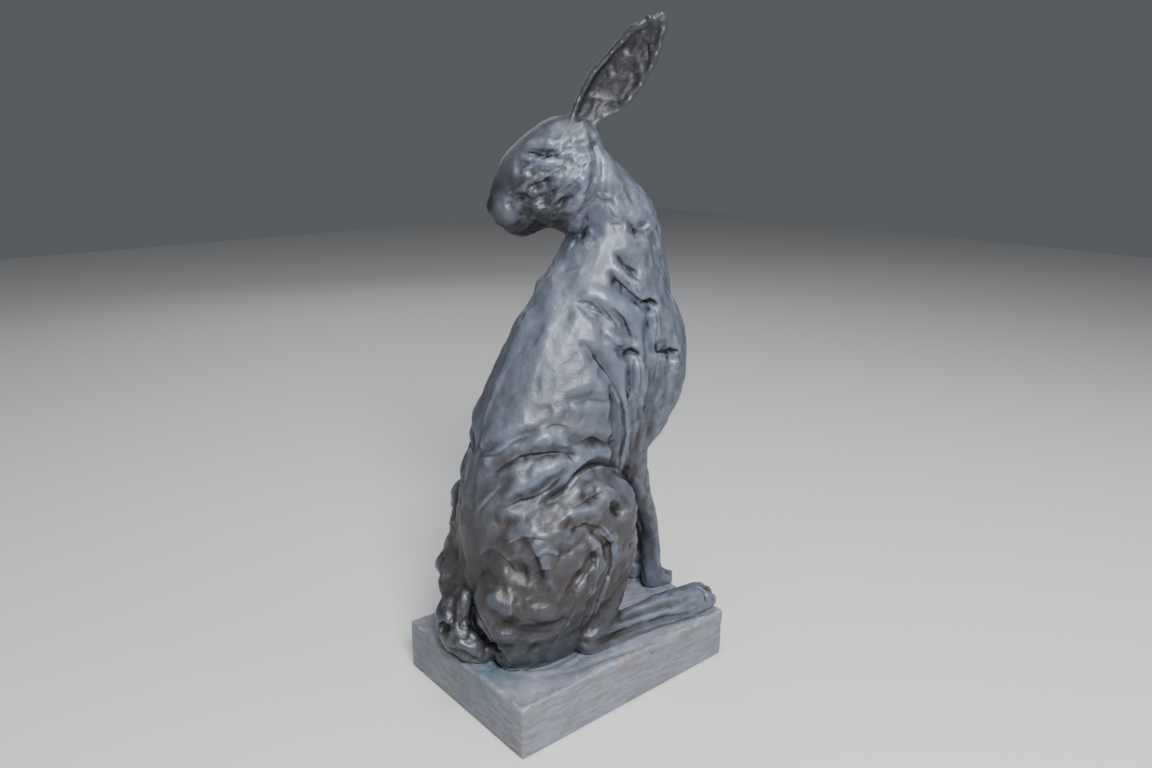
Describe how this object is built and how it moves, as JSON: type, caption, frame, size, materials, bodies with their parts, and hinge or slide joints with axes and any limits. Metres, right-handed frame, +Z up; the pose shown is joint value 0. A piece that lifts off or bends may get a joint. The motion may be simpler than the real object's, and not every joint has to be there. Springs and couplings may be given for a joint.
{
  "type": "hare sculpture",
  "caption": "Free-standing figure of a hare that sits upright on a low rectangular plinth and looks back over its left shoulder, ears together and raised.",
  "frame": {"origin": "middle of the plinth's underside", "axes": "+X the way the hare's body faces and the plinth's length, +Y the hare's left, +Z up to the ear tips"},
  "size_m": [0.2295, 0.1581, 0.5231],
  "materials": {
    "bronzed_resin": "satin dark bronze with dry-brushed blue-grey over the raised parts and the plinth"
  },
  "bodies": {
    "root": {"hare_sculpture": "bronzed_resin"}
  },
  "joints": []
}
